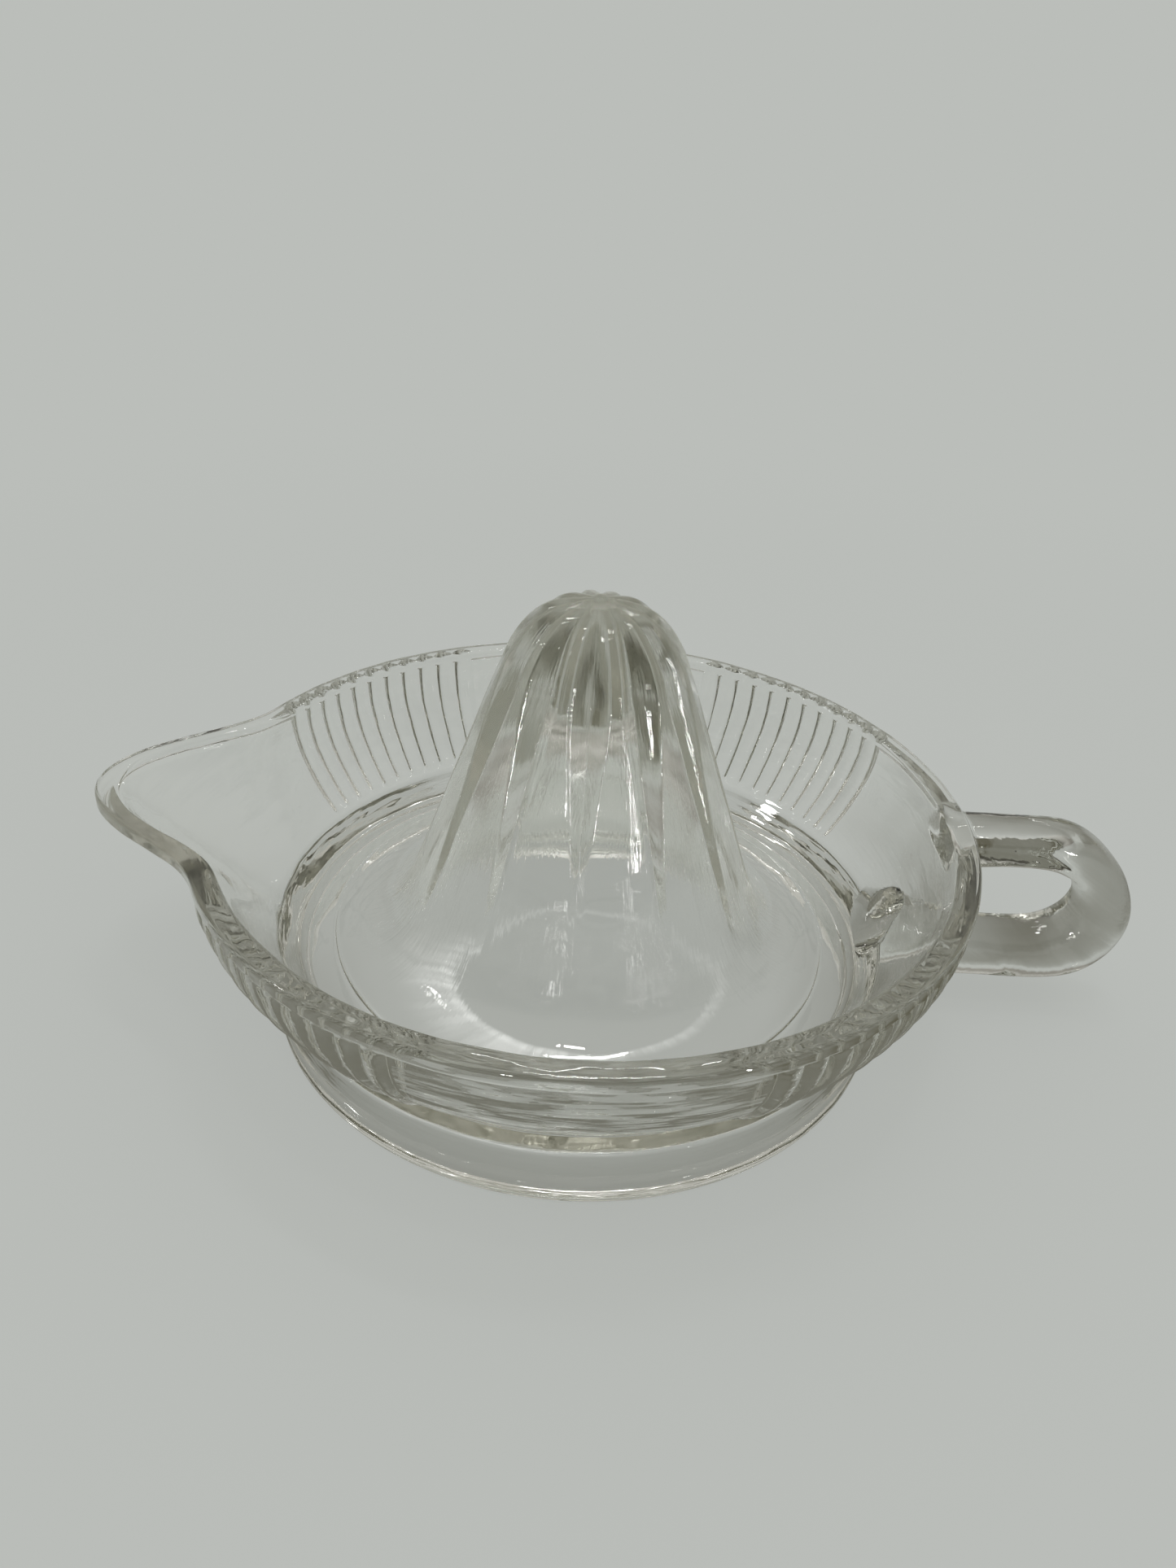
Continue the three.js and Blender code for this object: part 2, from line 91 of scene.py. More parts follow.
# Cone, its flange, its hollow and its grooves. Dome and hollow go by shares of radius and height
CONE_TOP = FLOOR_TOP + 70.4
CONE_FOOT = (32.6, FLOOR_TOP + 14.8)
CONE_SHOULDER = (17.6, FLOOR_TOP + 57.3)
STRAIGHT_SHARES = (0.3, 0.7)
DOME_SHARES = [(0.898, 0.305), (0.733, 0.618), (0.52, 0.847), (0.28, 0.954)]
NIB_RADIUS = 1.6
NIB_HEIGHT = 0.8
NIB_SHARES = (0.3, 0.6, 0.85)
FLANGE_RADIUS = 49.5
FLANGE_EDGE = 1.0
FLANGE_ROUND = 0.9
FLARE = 0.75
HOLLOW_MOUTH = 50.0
HOLLOW_FOOT = (25.8, CONE_FOOT[1])
HOLLOW_TOP = FLOOR_TOP + 47
HOLLOW_SHARES = [(0.87, 0.24), (0.7, 0.5), (0.48, 0.76), (0.33, 0.89), (0.17, 0.97)]
GROOVE_COUNT = 12
GROOVE_PITCH = 2 * math.pi / GROOVE_COUNT
GROOVE_DEPTH = 3.6
GROOVE_FOOT = FLOOR_TOP + 10.8
GROOVE_SPREAD = 1.1
GROOVE_WIDEST = 0.8
GROOVE_FLANK = 1.25
GROOVE_TURN = math.radians(-3)

# Handle, with the two sides of its loop as shares of reach and height
HANDLE_WIDTH = 12.6
HANDLE_TOP = RIM_HEIGHT - 0.9
FINGER_TOP = HANDLE_TOP - 7.6
FINGER_FOOT = FINGER_TOP - 16
HANDLE_FOOT = FINGER_FOOT - 12.6
BEND_REACH = HANDLE_REACH - 12
ROOT_FILLET = 3.0
ROOT_SINK = 1.6
CORE_OVERRUN = 5
UPPER_SQUARENESS = 3.6
LOWER_SQUARENESS = 2.2
OUTER_LOOP_SHARES = [
    (-0.5, 1), (0, 1), (0.3, 1), (0.56, 0.99), (0.72, 0.92), (0.87, 0.77), (0.97, 0.58),
    (1, 0.4), (0.95, 0.21), (0.82, 0.07), (0.64, 0.006), (0.4, 0), (0, 0), (-0.6, 0),
]
INNER_LOOP_SHARES = [
    (-0.5, 0.96), (0, 0.97), (0.3, 1), (0.54, 0.99), (0.72, 0.93), (0.9, 0.78), (0.98, 0.6),
    (1, 0.44), (0.95, 0.25), (0.83, 0.09), (0.67, 0.01), (0.4, 0), (0.05, 0.06), (-0.2, 0.22),
    (-0.6, 0.5),
]

# Slow unevenness of the glass: long waves, each with its radians a millimetre along x, y and z
# and its phase. They set in above the foot's face, which stays flat
WAVES = [
    ((0.31, 0.12, 0.22), 0.0), ((-0.14, 0.36, 0.1), 1.7), ((0.07, -0.19, 0.41), 3.1),
    ((0.52, 0.33, -0.16), 0.6), ((-0.45, 0.48, 0.27), 4.4),
]
WAVE_HEIGHT = 0.02
WAVES_START = 1

# How finely the curved surfaces are divided
RIB_STEPS = 10
PLAIN_STEP = math.radians(0.6)
ANGLE_DIGITS = 5
CONE_ROWS = 84
FLARE_ROWS = 26
FLOOR_ROWS = 9
INSIDE_ROWS = 40
OUTSIDE_ROWS = 54
FOOT_ROWS = 16
RING_ROWS = 6
HOLLOW_FLARE_ROWS = 30
HOLLOW_ROWS = 50
CORNER_POINTS = 7
FOOT_CORNER_POINTS = 5
RECESS_CORNER_POINTS = 12
CORE_ROWS = 24
WALL_SAMPLES = 60
LOOP_STEPS = 110
SECTION_STEPS = 48


def blend(start, end, share):
    return start + (end - start) * share


def through(points, count):
    """A smooth line through the points, as count + 1 points, by the Catmull-Rom rule."""
    points = np.array(points, float)
    last = len(points) - 1
    along = np.linspace(0, last, count + 1)
    k = np.minimum(along.astype(int), last - 1)
    t = (along - k)[:, None]
    before, start, end, after = (points[np.clip(k + step, 0, last)] for step in (-1, 0, 1, 2))
    lean_in, lean_out = (end - before) / 2, (after - start) / 2
    return (
        (2 * start - 2 * end + lean_in + lean_out) * t**3
        + (-3 * start + 3 * end - 2 * lean_in - lean_out) * t**2
        + lean_in * t
        + start
    )


def round_corner(centre, radius, first, last, count=CORNER_POINTS):
    """Points on a quarter circle between two directions in degrees."""
    angles = np.radians(np.linspace(first, last, count))
    return [(centre[0] + radius * math.cos(a), centre[1] + radius * math.sin(a)) for a in angles]


def flare_to(first, second, third, count):
    """A curve that leaves the first point level and meets the second in line with the third."""
    first, second, third = np.array(first), np.array(second), np.array(third)
    lean = (third[0] - second[0]) / (third[1] - second[1])
    corner = np.array([second[0] - lean * (second[1] - first[1]), first[1]])
    leave, meet = blend(first, corner, FLARE), blend(second, corner, FLARE)
    t = np.linspace(0, 1, count + 1)[:, None]
    points = (1 - t)**3 * first + 3 * (1 - t)**2 * t * leave + 3 * (1 - t) * t**2 * meet + t**3 * second
    return [tuple(point) for point in points]


# Angles round the bowl's axis

def panel_edges():
    """First and last angle of each rib panel, counted from the handle."""
    return [
        (PANEL_START, PANEL_END),
        (math.pi - PANEL_END, math.pi - PANEL_START),
        (math.pi + PANEL_START, math.pi + PANEL_END),
        (2 * math.pi - PANEL_END, 2 * math.pi - PANEL_START),
    ]


def round_angles():
    """Angles of the mesh: close on the ribs, wide between, and one in the bottom of each groove."""
    angles = []
    done = 0.0
    for first, last in panel_edges():
        plain = math.ceil((first - done) / PLAIN_STEP)
        angles.append(np.linspace(done, first, plain, endpoint=False))
        steps = np.sin(np.linspace(-math.pi / 2, math.pi / 2, RIB_STEPS, endpoint=False))
        for k in range(RIB_COUNT):
            angles.append(first + (k + 0.5 + steps / 2) * RIB_PITCH)
        done = last
    plain = math.ceil((2 * math.pi - done) / PLAIN_STEP)
    angles.append(np.linspace(done, 2 * math.pi, plain, endpoint=False))
    grooves = (np.arange(GROOVE_COUNT) * GROOVE_PITCH + GROOVE_TURN) % (2 * math.pi)
    return np.unique(np.round(np.concatenate([*angles, grooves]), ANGLE_DIGITS))


ANGLES = round_angles()
RIB_MIDDLES = np.array([
    first + (k + 0.5) * RIB_PITCH for first, last in panel_edges() for k in range(RIB_COUNT)
])
RIB_AWAY = np.min(np.abs(ANGLES[:, None] - RIB_MIDDLES[None, :]), axis=1)
SPOUT_AWAY = np.abs(ANGLES - math.pi)
GROOVE_AWAY = np.abs((ANGLES - GROOVE_TURN + GROOVE_PITCH / 2) % GROOVE_PITCH - GROOVE_PITCH / 2)


# Section of the pressing, and what departs from a turned shape

def outer_wall(level):
    """Radius and height of the wall's outside, from its shoulder (0) to the bead (1)."""
    bulge = (1 - level) ** WALL_CURVE
    return (
        WALL_RADIUS - (WALL_RADIUS - FOOT_RADIUS) * bulge,
        blend(SHOULDER_HEIGHT, BEAD_HEIGHT, level),
    )


def inner_wall(level):
    """Radius and height of the wall's inside, from the floor (0) to the rim's rounding (1)."""
    bulge = (1 - level) ** WALL_CURVE
    return (
        INNER_RADIUS - (INNER_RADIUS - FLOOR_RADIUS) * bulge,
        blend(FLOOR_TOP, INNER_TOP, level),
    )


def rib_stand(height):
    """How far the ribs stand out at each angle: rounded bars with a round lower end."""
    past = max(0.0, RIB_FOOT + RIB_END - height) / RIB_END
    away = np.minimum(RIB_HALF, np.hypot(RIB_AWAY * RIM_RADIUS, past * RIB_HALF))
    return np.sqrt(RIB_BALL**2 - away**2) - (RIB_BALL - RIB_STAND)


def spout_pull(height, growth):
    """How far the spout draws the wall outward at each angle."""
    level = min(max((height - FLOOR_TOP) / (INNER_TOP - FLOOR_TOP), 0.0), 1.0)
    half = blend(SPOUT_FLOOR_HALF, PANEL_START, level)
    across = np.minimum(1, SPOUT_AWAY / half)
    beak = ((1 + np.cos(math.pi * across)) / 2) ** SPOUT_BEAK
    return (SPOUT_REACH - RIM_RADIUS) * level**growth * beak


def groove_sink(radius, height):
    """How deep the cone's grooves are at each angle: evenly deeper up to the shoulder."""
    rise = (height - GROOVE_FOOT) / (CONE_SHOULDER[1] - GROOVE_FOOT)
    if rise <= 0:
        return np.zeros_like(ANGLES)
    depth = GROOVE_DEPTH * (rise if rise < 1 else radius / CONE_SHOULDER[0])
    half = GROOVE_PITCH / 2
    edge = min(max(depth * GROOVE_SPREAD / radius, half * (1 - GROOVE_WIDEST)), half * GROOVE_WIDEST)
    return depth * np.maximum(0, 1 - GROOVE_AWAY / edge) ** GROOVE_FLANK


def ring(radius, height):
    """Points round the axis, for one radius or for one at each angle."""
    radius = np.broadcast_to(radius, ANGLES.shape)
    level = np.full(ANGLES.shape, float(height))
    return np.stack([radius * np.cos(ANGLES), radius * np.sin(ANGLES), level], axis=1)


def cone_outline():
    """The cone from its foot up the straight side and over the dome to the nib."""
    foot, shoulder = np.array(CONE_FOOT), np.array(CONE_SHOULDER)
    return [
        CONE_FOOT,
        *(tuple(blend(foot, shoulder, share)) for share in STRAIGHT_SHARES),
        CONE_SHOULDER,
        *((shoulder[0] * across, blend(shoulder[1], CONE_TOP, up)) for across, up in DOME_SHARES),
        (NIB_RADIUS, CONE_TOP),
    ]


def cone_rows():
    """From the nib down to the edge of the flange."""
    nib = [(NIB_RADIUS * s, CONE_TOP + NIB_HEIGHT * math.sqrt(1 - s * s)) for s in NIB_SHARES]
    upper = through(cone_outline(), CONE_ROWS)[::-1]
    flange = (FLANGE_RADIUS - FLANGE_ROUND, FLOOR_TOP + FLANGE_EDGE)
    flare = flare_to(flange, CONE_FOOT, CONE_SHOULDER, FLARE_ROWS)[-2::-1]
    edge = round_corner((flange[0], flange[1] - FLANGE_ROUND), FLANGE_ROUND, 90, 0)[1:]
    rows = [ring(r, z) for r, z in nib]
    rows += [ring(r - groove_sink(r, z), z) for r, z in [*upper, *flare]]
    rows += [ring(r, z) for r, z in [*edge, (FLANGE_RADIUS, FLOOR_TOP)]]
    return rows


def bowl_rows():
    """From the flange over the floor, up the inside, over the rim and down to the foot."""
    rows = [ring(r, FLOOR_TOP) for r in np.linspace(FLANGE_RADIUS, FLOOR_RADIUS, FLOOR_ROWS)[1:-1]]
    for level in np.linspace(0, 1, INSIDE_ROWS):
        r, z = inner_wall(level)
        rows.append(ring(r + spout_pull(z, SPOUT_INSIDE_GROWTH), z))
    rim = [
        *round_corner((INNER_RADIUS + RIM_ROUND, INNER_TOP), RIM_ROUND, 180, 90)[1:],
        *round_corner((RIM_RADIUS - RIM_ROUND, INNER_TOP), RIM_ROUND, 90, 0),
    ]
    bead = round_corner((WALL_RADIUS, BEAD_HEIGHT + BEAD_STAND), BEAD_STAND, 0, -90)
    pull = spout_pull(INNER_TOP, 1)
    rows += [ring(r + pull, z) for r, z in rim]
    rows += [ring(np.maximum(r, WALL_RADIUS + rib_stand(z)) + pull, z) for r, z in bead]
    for level in np.linspace(1, 0, OUTSIDE_ROWS)[1:]:
        r, z = outer_wall(level)
        rows.append(ring(r + rib_stand(z) + spout_pull(z, SPOUT_OUTSIDE_GROWTH), z))
    return rows


def foot_rows():
    """From the shoulder down the foot, across the underside and up the hollow."""
    inner = FOOT_RADIUS - FOOT_WIDTH
    recess = (inner - FOOT_ROUND, UNDERSIDE - FOOT_ROUND)
    outline = [
        *((FOOT_RADIUS, z) for z in np.linspace(SHOULDER_HEIGHT, FOOT_ROUND, FOOT_ROWS)[1:-1]),
        *round_corner((FOOT_RADIUS - FOOT_ROUND, FOOT_ROUND), FOOT_ROUND, 0, -90, FOOT_CORNER_POINTS),
        *round_corner((inner + FOOT_ROUND, FOOT_ROUND), FOOT_ROUND, -90, -180, FOOT_CORNER_POINTS),
        *((inner, z) for z in np.linspace(FOOT_ROUND, recess[1], RING_ROWS)[1:-1]),
        *round_corner(recess, FOOT_ROUND, 0, 90, RECESS_CORNER_POINTS),
        *((r, UNDERSIDE) for r in np.linspace(recess[0], HOLLOW_MOUTH, RING_ROWS)[1:-1]),
    ]
    upper = [
        (HOLLOW_FOOT[0] * across, blend(HOLLOW_FOOT[1], HOLLOW_TOP, up))
        for across, up in [(1, 0), *HOLLOW_SHARES, (0, 1)]
    ]
    outline += flare_to((HOLLOW_MOUTH, UNDERSIDE), HOLLOW_FOOT, upper[1], HOLLOW_FLARE_ROWS)
    outline += [tuple(point) for point in through(upper, HOLLOW_ROWS)[1:-1]]
    return [ring(r, z) for r, z in outline]


# Meshes

def mesh_of(name, points, faces):
    mesh = bpy.data.meshes.new(name)
    mesh.from_pydata([tuple(p) for p in points], [], [tuple(f) for f in faces])
    mesh.validate()
    piece = bpy.data.objects.new(name, mesh)
    bpy.context.collection.objects.link(piece)
    return piece


def skin(rings, first_tip, last_tip):
    """Points and faces of a closed skin over rings of equal count, between two tips."""
    count = len(rings[0])
    points = np.concatenate([*rings, [first_tip], [last_tip]])
    here = np.arange(count)
    after = (here + 1) % count
    faces = []
    for k in range(len(rings) - 1):
        a, b = k * count, (k + 1) * count
        faces += np.stack([a + here, b + here, b + after, a + after], axis=1).tolist()
    top, foot = len(points) - 2, len(points) - 1
    end = (len(rings) - 1) * count
    faces += [(top, int(i), int(j)) for i, j in zip(here, after)]
    faces += [(foot, end + int(j), end + int(i)) for i, j in zip(here, after)]
    return points, faces


def turned_pressing():
    """The pressing without its handle."""
    rings = [*cone_rows(), *bowl_rows(), *foot_rows()]
    points, faces = skin(rings, (0, 0, CONE_TOP + NIB_HEIGHT), (0, 0, HOLLOW_TOP))
    return mesh_of("pressing", points, faces)


def bowl_radius_at(height):
    """Outer radius of the bowl at a height, without ribs."""
    radii, heights = outer_wall(np.linspace(0, 1, WALL_SAMPLES))
    return np.interp(height, [0, *heights, BEAD_HEIGHT + BEAD_STAND], [FOOT_RADIUS, *radii, RIM_RADIUS])


def loop_side(reach, foot, top, shares):
    """One side of the handle's loop in the upright plane, from the upper root to the lower."""
    return through(
        [(blend(RIM_RADIUS, reach, out), blend(foot, top, up)) for out, up in shares], LOOP_STEPS,
    )


def with_sign(values, power):
    """Numbers raised to a power, each with its own sign."""
    return np.sign(values) * np.abs(values) ** power


def handle_loop():
    """The loop between its two sides: squarish above, rounder from halfway on, wider at its roots."""
    outer = loop_side(HANDLE_REACH, HANDLE_FOOT, HANDLE_TOP, OUTER_LOOP_SHARES)
    inner = loop_side(BEND_REACH, FINGER_FOOT, FINGER_TOP, INNER_LOOP_SHARES)
    turn = np.linspace(0, 2 * math.pi, SECTION_STEPS, endpoint=False)
    rings = []
    for k, (outside, inside) in enumerate(zip(outer, inner)):
        middle, thick = (outside + inside) / 2, (outside - inside) / 2
        power = 2 / blend(UPPER_SQUARENESS, LOWER_SQUARENESS, min(1, 2 * k / LOOP_STEPS))
        clear = min(max(middle[0] - bowl_radius_at(middle[1]), 0), ROOT_FILLET)
        fillet = ROOT_FILLET - math.sqrt(ROOT_FILLET**2 - (ROOT_FILLET - clear) ** 2)
        across = with_sign(np.cos(turn), power)
        up = with_sign(np.sin(turn), power)
        rings.append(np.stack([
            middle[0] + thick[0] * up,
            (HANDLE_WIDTH / 2 + fillet) * across,
            middle[1] + thick[1] * up,
        ], axis=1))
    points, faces = skin(rings, rings[0].mean(axis=0), rings[-1].mean(axis=0))
    return mesh_of("handle_loop", points, faces)


def bowl_core():
    """The bowl filled up and a little smaller, which trims the roots of the handle inside its wall."""
    foot, top = -CORE_OVERRUN, RIM_HEIGHT + CORE_OVERRUN
    outline = [
        (FOOT_RADIUS, foot),
        (FOOT_RADIUS, SHOULDER_HEIGHT),
        *(outer_wall(level) for level in np.linspace(0, 1, CORE_ROWS)[1:]),
        (RIM_RADIUS, BEAD_HEIGHT + BEAD_STAND),
        (RIM_RADIUS, top),
    ]
    points, faces = skin([ring(r - ROOT_SINK, z) for r, z in outline], (0, 0, foot), (0, 0, top))
    return mesh_of("bowl_core", points, faces)


def combined(first, second, operation):
    """The first object joined with or cut by the second, which is then removed."""
    change = first.modifiers.new(operation, "BOOLEAN")
    change.operation = operation
    change.solver = "MANIFOLD"
    change.object = second
    bpy.context.view_layer.update()
    ready = first.evaluated_get(bpy.context.evaluated_depsgraph_get())
    mesh = bpy.data.meshes.new_from_object(ready)
    first.modifiers.clear()
    first.data = mesh
    bpy.data.objects.remove(second)
    return first


def vertex_values(mesh, name):
    """Places or normals of all vertices, one row each."""
    values = np.empty(len(mesh.vertices) * 3)
    mesh.vertices.foreach_get(name, values)
    return values.reshape(-1, 3)


def face_outward(piece):
    """Turns every face outward, so that the glass has its inside on the right side."""
    mesh = piece.data
    points = vertex_values(mesh, "co")
    mesh.calc_loop_triangles()
    corners = np.empty(len(mesh.loop_triangles) * 3, int)
    mesh.loop_triangles.foreach_get("vertices", corners)
    a, b, c = (points[corners[k::3]] for k in range(3))
    if np.einsum("ij,ij->i", a, np.cross(b, c)).sum() < 0:
        mesh.flip_normals()
    return piece


def uneven(piece):
    """Pushes the waves of pressed glass along the normals, but leaves the foot's face flat."""
    mesh = piece.data
    points, normals = vertex_values(mesh, "co"), vertex_values(mesh, "normal")
    push = sum(np.sin(points @ np.array(wave) + phase) for wave, phase in WAVES) * WAVE_HEIGHT
    push *= np.clip(points[:, 2] - WAVES_START, 0, 1)
    mesh.vertices.foreach_set("co", (points + normals * push[:, None]).ravel())
    mesh.update()


def pressing():
    """The whole reamer as one closed mesh, in metres and in its place."""
    body = face_outward(turned_pressing())
    loop = combined(face_outward(handle_loop()), face_outward(bowl_core()), "DIFFERENCE")
    piece = combined(body, loop, "UNION")
    piece.name = "glass_reamer"
    uneven(piece)
    piece.data.transform(Matrix.Translation((BOWL_X * MM, 0, 0)) @ Matrix.Scale(MM, 4))
    piece.data.shade_smooth()
    return piece


# Nodes, for materials and the world

BOWL_MIDDLE = (BOWL_X * MM, 0, 0)

# The sockets of a colour mix share their names with other kinds, so they go by number
COLOUR_A, COLOUR_B, COLOUR_RESULT = 6, 7, 2


class Graph:
    """The node tree of a material or world, emptied, with short ways to fill it."""

    def __init__(self, owner):
        owner.use_nodes = True
        self.nodes = owner.node_tree.nodes
        self.links = owner.node_tree.links
        self.nodes.clear()

    def add(self, kind, inputs=None, **settings):
        """A new node. Each input takes a plain value or the output of another node."""
        node = self.nodes.new("ShaderNode" + kind)
        for name, value in settings.items():
            setattr(node, name, value)
        for socket, value in (inputs or {}).items():
            if isinstance(value, bpy.types.NodeSocket):
                self.links.new(value, node.inputs[socket])
            else:
                node.inputs[socket].default_value = value
        return node

    def math(self, operation, *values):
        return self.add("Math", dict(enumerate(values)), operation=operation).outputs["Value"]

    def vector(self, operation, *values):
        return self.add("VectorMath", dict(enumerate(values)), operation=operation).outputs

    def product(self, *values):
        return reduce(partial(self.math, "MULTIPLY"), values)

    def total(self, *values):
        return reduce(partial(self.math, "ADD"), values)

    def stepped(self, value, span, low=0.0, high=1.0):
        """A value that goes smoothly from low to high while another crosses the span."""
        inputs = {
            "Value": value,
            "From Min": span[0], "From Max": span[1],
            "To Min": low, "To Max": high,
        }
        return self.add("MapRange", inputs, interpolation_type="SMOOTHSTEP").outputs["Result"]

    def around_axis(self, middle=BOWL_MIDDLE):
        """Direction from an upright axis, distance from it and height, at the shaded point."""
        place = self.add("TexCoord").outputs["Object"]
        from_axis = self.vector("SUBTRACT", place, middle)["Vector"]
        level = self.vector("MULTIPLY", from_axis, (1, 1, 0))["Vector"]
        radius = self.vector("LENGTH", level)["Value"]
        heading = self.vector("NORMALIZE", level)["Vector"]
        height = self.add("SeparateXYZ", {"Vector": from_axis}).outputs["Z"]
        return heading, radius, height

    def facing(self, heading, side, span):
        """How far a heading round the axis turns to a side, as a smooth share."""
        return self.stepped(self.vector("DOT_PRODUCT", heading, side)["Value"], span)

    def streaks(self, heading, along, scales, detail=3):
        """Noise stretched round the axis, or up along it, by the two scales."""
        turn_scale, along_scale = scales
        split = self.add("SeparateXYZ", {"Vector": heading}).outputs
        point = self.add("CombineXYZ", {
            "X": self.math("MULTIPLY", split["X"], turn_scale),
            "Y": self.math("MULTIPLY", split["Y"], turn_scale),
            "Z": self.math("MULTIPLY", along, along_scale),
        })
        noise = {"Vector": point.outputs["Vector"], "Scale": 1, "Detail": detail}
        return self.add("TexNoise", noise).outputs["Fac"]

    def glass_ray(self):
        """One for a ray that comes off or through glass, otherwise nought."""
        light = self.add("LightPath").outputs
        return self.math("MAXIMUM", light["Is Glossy Ray"], light["Is Transmission Ray"])

    def camera_ray(self):
        """One for a ray that comes straight from the camera, otherwise nought."""
        return self.add("LightPath").outputs["Is Camera Ray"]

    def mixed(self, share, first, second):
        """The first shader, with a share of the second."""
        return self.add("MixShader", {"Fac": share, 1: first, 2: second}).outputs["Shader"]


# Glass. Its marks are streaks up the cone, and streaks and swells round rim, wall and foot.
# Their scales are for the way round and for each metre along, and spans are metres from the axis

CONE_STREAKS = (45, 90)
WALL_STREAKS = (9, 700)
WALL_DETAIL = 1
SWELLS = (7, 260)
SWELL_DETAIL = 0
SWELL_SHARE = 6
OUTWARD_SHARE = 0.7
CONE_TO_WALL = (0.036, 0.05)
WALL_TO_RIM = (0.058, 0.068)
RIM_GAIN = 0.4
MARK_STRENGTH = 0.3
MARK_DEPTH = 0.15 * MM
GLASS_COLOUR = (0.985, 0.99, 0.98, 1)
REFRACTIVE_INDEX = 1.5
TINT = (0.5, 0.492, 0.37, 1)
TINT_DENSITY = 12
SHADOW_COLOUR = (0.88, 0.88, 0.87, 1)


def mould_marks(graph):
    """Height of the fine marks at the shaded point."""
    heading, radius, height = graph.around_axis()
    section = graph.total(height, graph.product(radius, OUTWARD_SHARE))
    marks = graph.add("Mix", {
        "Factor": graph.stepped(radius, CONE_TO_WALL),
        "A": graph.streaks(heading, height, CONE_STREAKS),
        "B": graph.streaks(heading, section, WALL_STREAKS, WALL_DETAIL),
    }).outputs["Result"]
    swell = graph.streaks(heading, section, SWELLS, SWELL_DETAIL)
    edge = graph.stepped(radius, WALL_TO_RIM)
    gain = graph.math("MULTIPLY_ADD", edge, RIM_GAIN, 1)
    return graph.total(graph.product(marks, gain), graph.product(swell, edge, SWELL_SHARE))


def glass():
    """Clear glass with a faint olive tint, which lets most light pass in its shadow."""
    material = bpy.data.materials.new("clear_glass")
    graph = Graph(material)
    bump = graph.add("Bump", {
        "Strength": MARK_STRENGTH,
        "Distance": MARK_DEPTH,
        "Height": mould_marks(graph),
    })
    shader = graph.add("BsdfPrincipled", {
        "Base Color": GLASS_COLOUR,
        "Transmission Weight": 1,
        "IOR": REFRACTIVE_INDEX,
        "Roughness": 0,
        "Normal": bump.outputs["Normal"],
    })
    clear = graph.add("BsdfTransparent", {"Color": SHADOW_COLOUR})
    shadow_ray = graph.add("LightPath").outputs["Is Shadow Ray"]
    tint = graph.add("VolumeAbsorption", {"Color": TINT, "Density": TINT_DENSITY})
    graph.add("OutputMaterial", {
        "Surface": graph.mixed(shadow_ray, shader.outputs["BSDF"], clear.outputs["BSDF"]),
        "Volume": tint.outputs["Volume"],
    })
    return material


# Table. Spans are metres from an axis, or how far a side is faced, from -1 to 1

BACKGROUND = (0.497, 0.515, 0.491)
# Colour of the shades painted on the table
SHADE = (0.045, 0.035, 0.0)
OWN_SHARE = 0.7
OWN_FADE = (0.12, 0.45)

# Painted ring of light on the table, which stands in for the light that the hollow cone gathers there,
# brighter on one side, and its painted glow
GATHERED_MIDDLE = (BOWL_X * MM + 0.002, -0.002, 0)
RING_SIDE = (-0.6, -0.8, 0)
RING_SIDE_SPAN = (-1, 1)
RING_IN = (0.0258, 0.027)
RING_OUT = (0.027, 0.0295)
RING_STRENGTH = 0.07
RING_GAIN = 0.1
GLOW_SIDE = (-0.8, -0.6, 0)
GLOW_SIDE_SPAN = (0.2, 1)
GLOW_IN = (0.026, 0.0285)
GLOW_OUT = (0.0285, 0.042)
GLOW_STRENGTH = 0.22
RAY_STREAKS = (14, 40)
RAY_SPAN = (0.3, 0.7)
RAY_LOW, RAY_HIGH = 0.5, 1.3

# Painted shades that the glass sees on the table: side, span of facing, where it starts and where it
# ends, and how deep it is. The first two lie in front of the bowl, the third right of it
FRONT, FRONT_SPAN = (0.15, -1, 0), (-0.5, 0.4)
RIGHT, RIGHT_SPAN = (0.9, -0.45, 0), (0.2, 0.8)
SHADES = [
    (FRONT, FRONT_SPAN, (0.04, 0.055), (0.13, 0.25), 0.25),
    (FRONT, FRONT_SPAN, (0.053, 0.064), (0.09, 0.115), 0.45),
    (RIGHT, RIGHT_SPAN, (0.085, 0.105), (0.14, 0.23), 0.38),
]


def painted_gathered_light(graph):
    """Strength of the painted ring of gathered light, with rays in it."""
    heading, radius, _ = graph.around_axis(GATHERED_MIDDLE)
    facing = graph.facing(heading, RING_SIDE, RING_SIDE_SPAN)
    bright_ring = graph.product(
        graph.stepped(radius, RING_IN),
        graph.stepped(radius, RING_OUT, 1, 0),
        graph.math("MULTIPLY_ADD", facing, RING_GAIN, RING_STRENGTH),
    )
    glow = graph.product(
        graph.stepped(radius, GLOW_IN),
        graph.stepped(radius, GLOW_OUT, 1, 0),
        graph.facing(heading, GLOW_SIDE, GLOW_SIDE_SPAN),
        GLOW_STRENGTH,
    )
    rays = graph.streaks(heading, radius, RAY_STREAKS)
    return graph.product(
        graph.total(bright_ring, glow), graph.stepped(rays, RAY_SPAN, RAY_LOW, RAY_HIGH),
    )


def shade(graph):
    """How deep the painted shades are, all together."""
    heading, radius, _ = graph.around_axis()
    return graph.total(*(
        graph.product(
            graph.facing(heading, side, span),
            graph.stepped(radius, start),
            graph.stepped(radius, end, depth, 0),
        )
        for side, span, start, end, depth in SHADES
    ))


